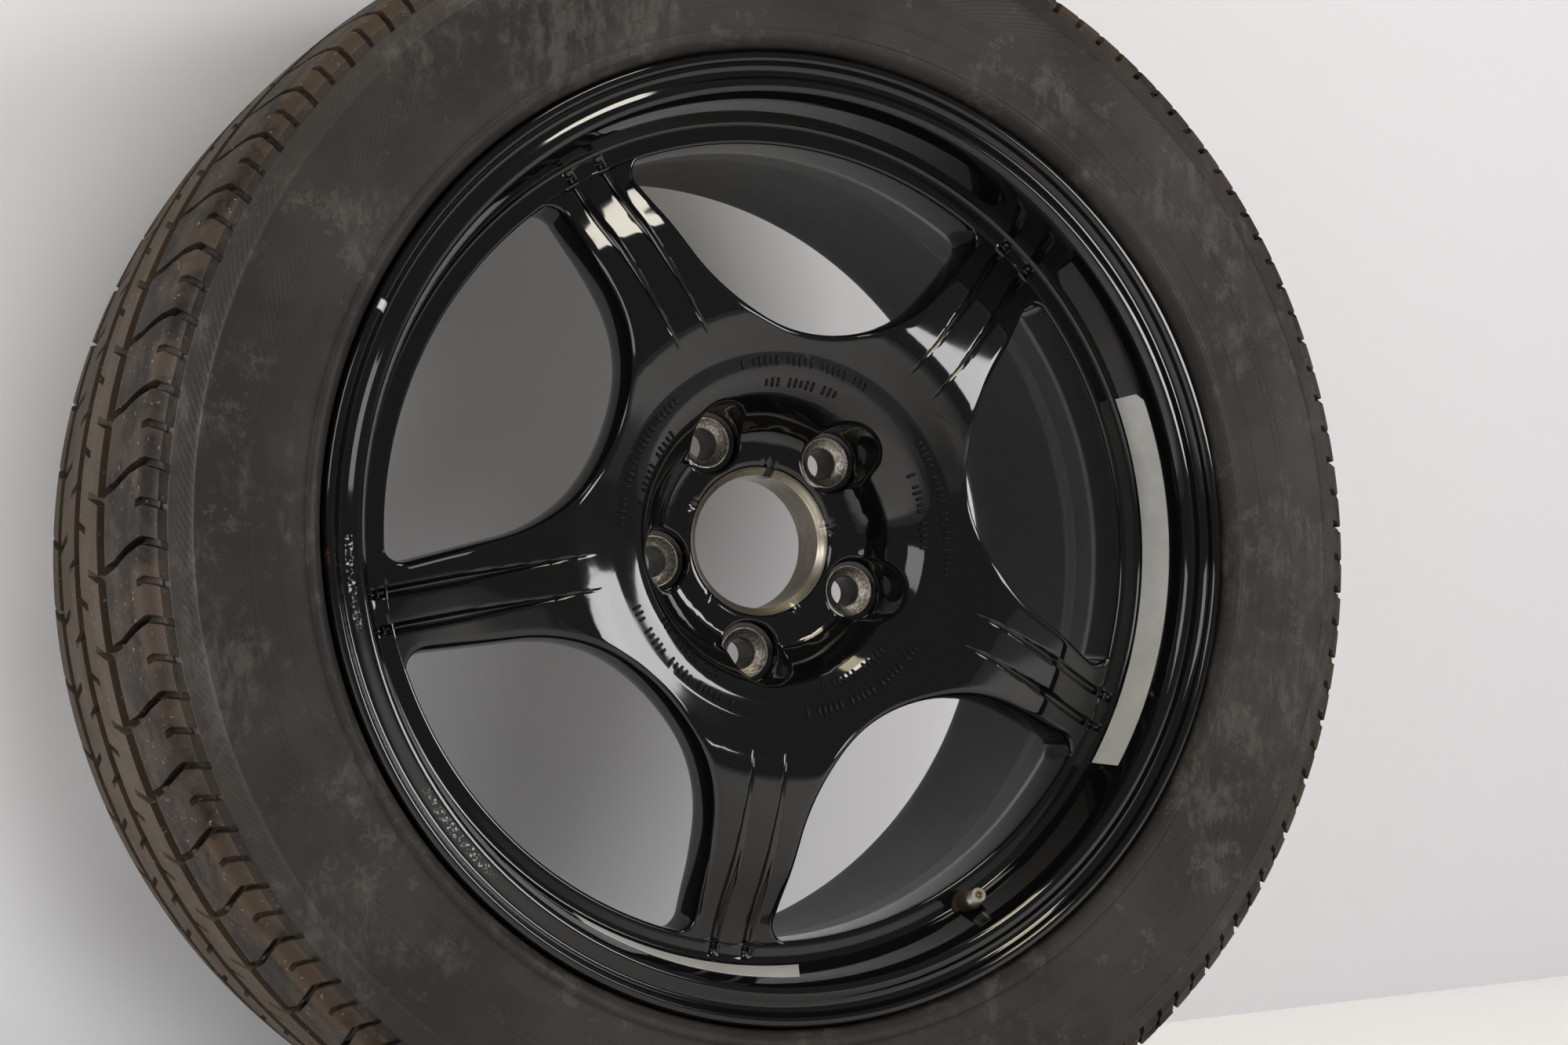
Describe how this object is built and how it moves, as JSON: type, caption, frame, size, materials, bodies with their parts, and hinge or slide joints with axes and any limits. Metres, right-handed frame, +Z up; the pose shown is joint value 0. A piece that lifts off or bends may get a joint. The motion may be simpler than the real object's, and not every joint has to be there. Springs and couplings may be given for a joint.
{
  "type": "spare wheel",
  "caption": "Cast light-alloy spare wheel with open spokes, mounted low-profile road tyre, snap-in valve and two blank foil labels.",
  "frame": {"origin": "on the wheel's axis, at the middle of the rim's width between its flanges", "axes": "+Y along the wheel's axis toward the vehicle, outboard face toward -Y, +Z up"},
  "size_m": [0.649, 0.251, 0.6488],
  "materials": {
    "black_paint": "gloss black paint over cast aluminium, bare machined bore and bolt seats",
    "tyre_rubber": "matt charcoal, dusty brown tread",
    "valve_rubber": "matt, dusty",
    "nickel": "nickel-plated brass, satin",
    "brass": "turned",
    "seal_rubber": "matt",
    "spring_steel": "bright wire",
    "foil": "silver-white foil, slightly creased, blank"
  },
  "bodies": {
    "wheel": {"wheel_casting": "black_paint", "tyre": "tyre_rubber", "valve_rubber": "valve_rubber", "valve_stem": "nickel", "valve_core": "brass", "valve_seal": "seal_rubber", "valve_spring": "spring_steel", "label_right": "foil", "label_lower": "foil"},
    "valve_pin": {"valve_pin": "brass"}
  },
  "joints": [
    {"name": "valve_pin_press", "type": "slide", "parent": "wheel", "child": "valve_pin", "axis": [0.1451, 0.9511, -0.2728], "range_m": [0, 0.0015], "stiffness_N_per_m": 800, "springref_m": -0.002, "deforming": ["valve_spring"]}
  ]
}
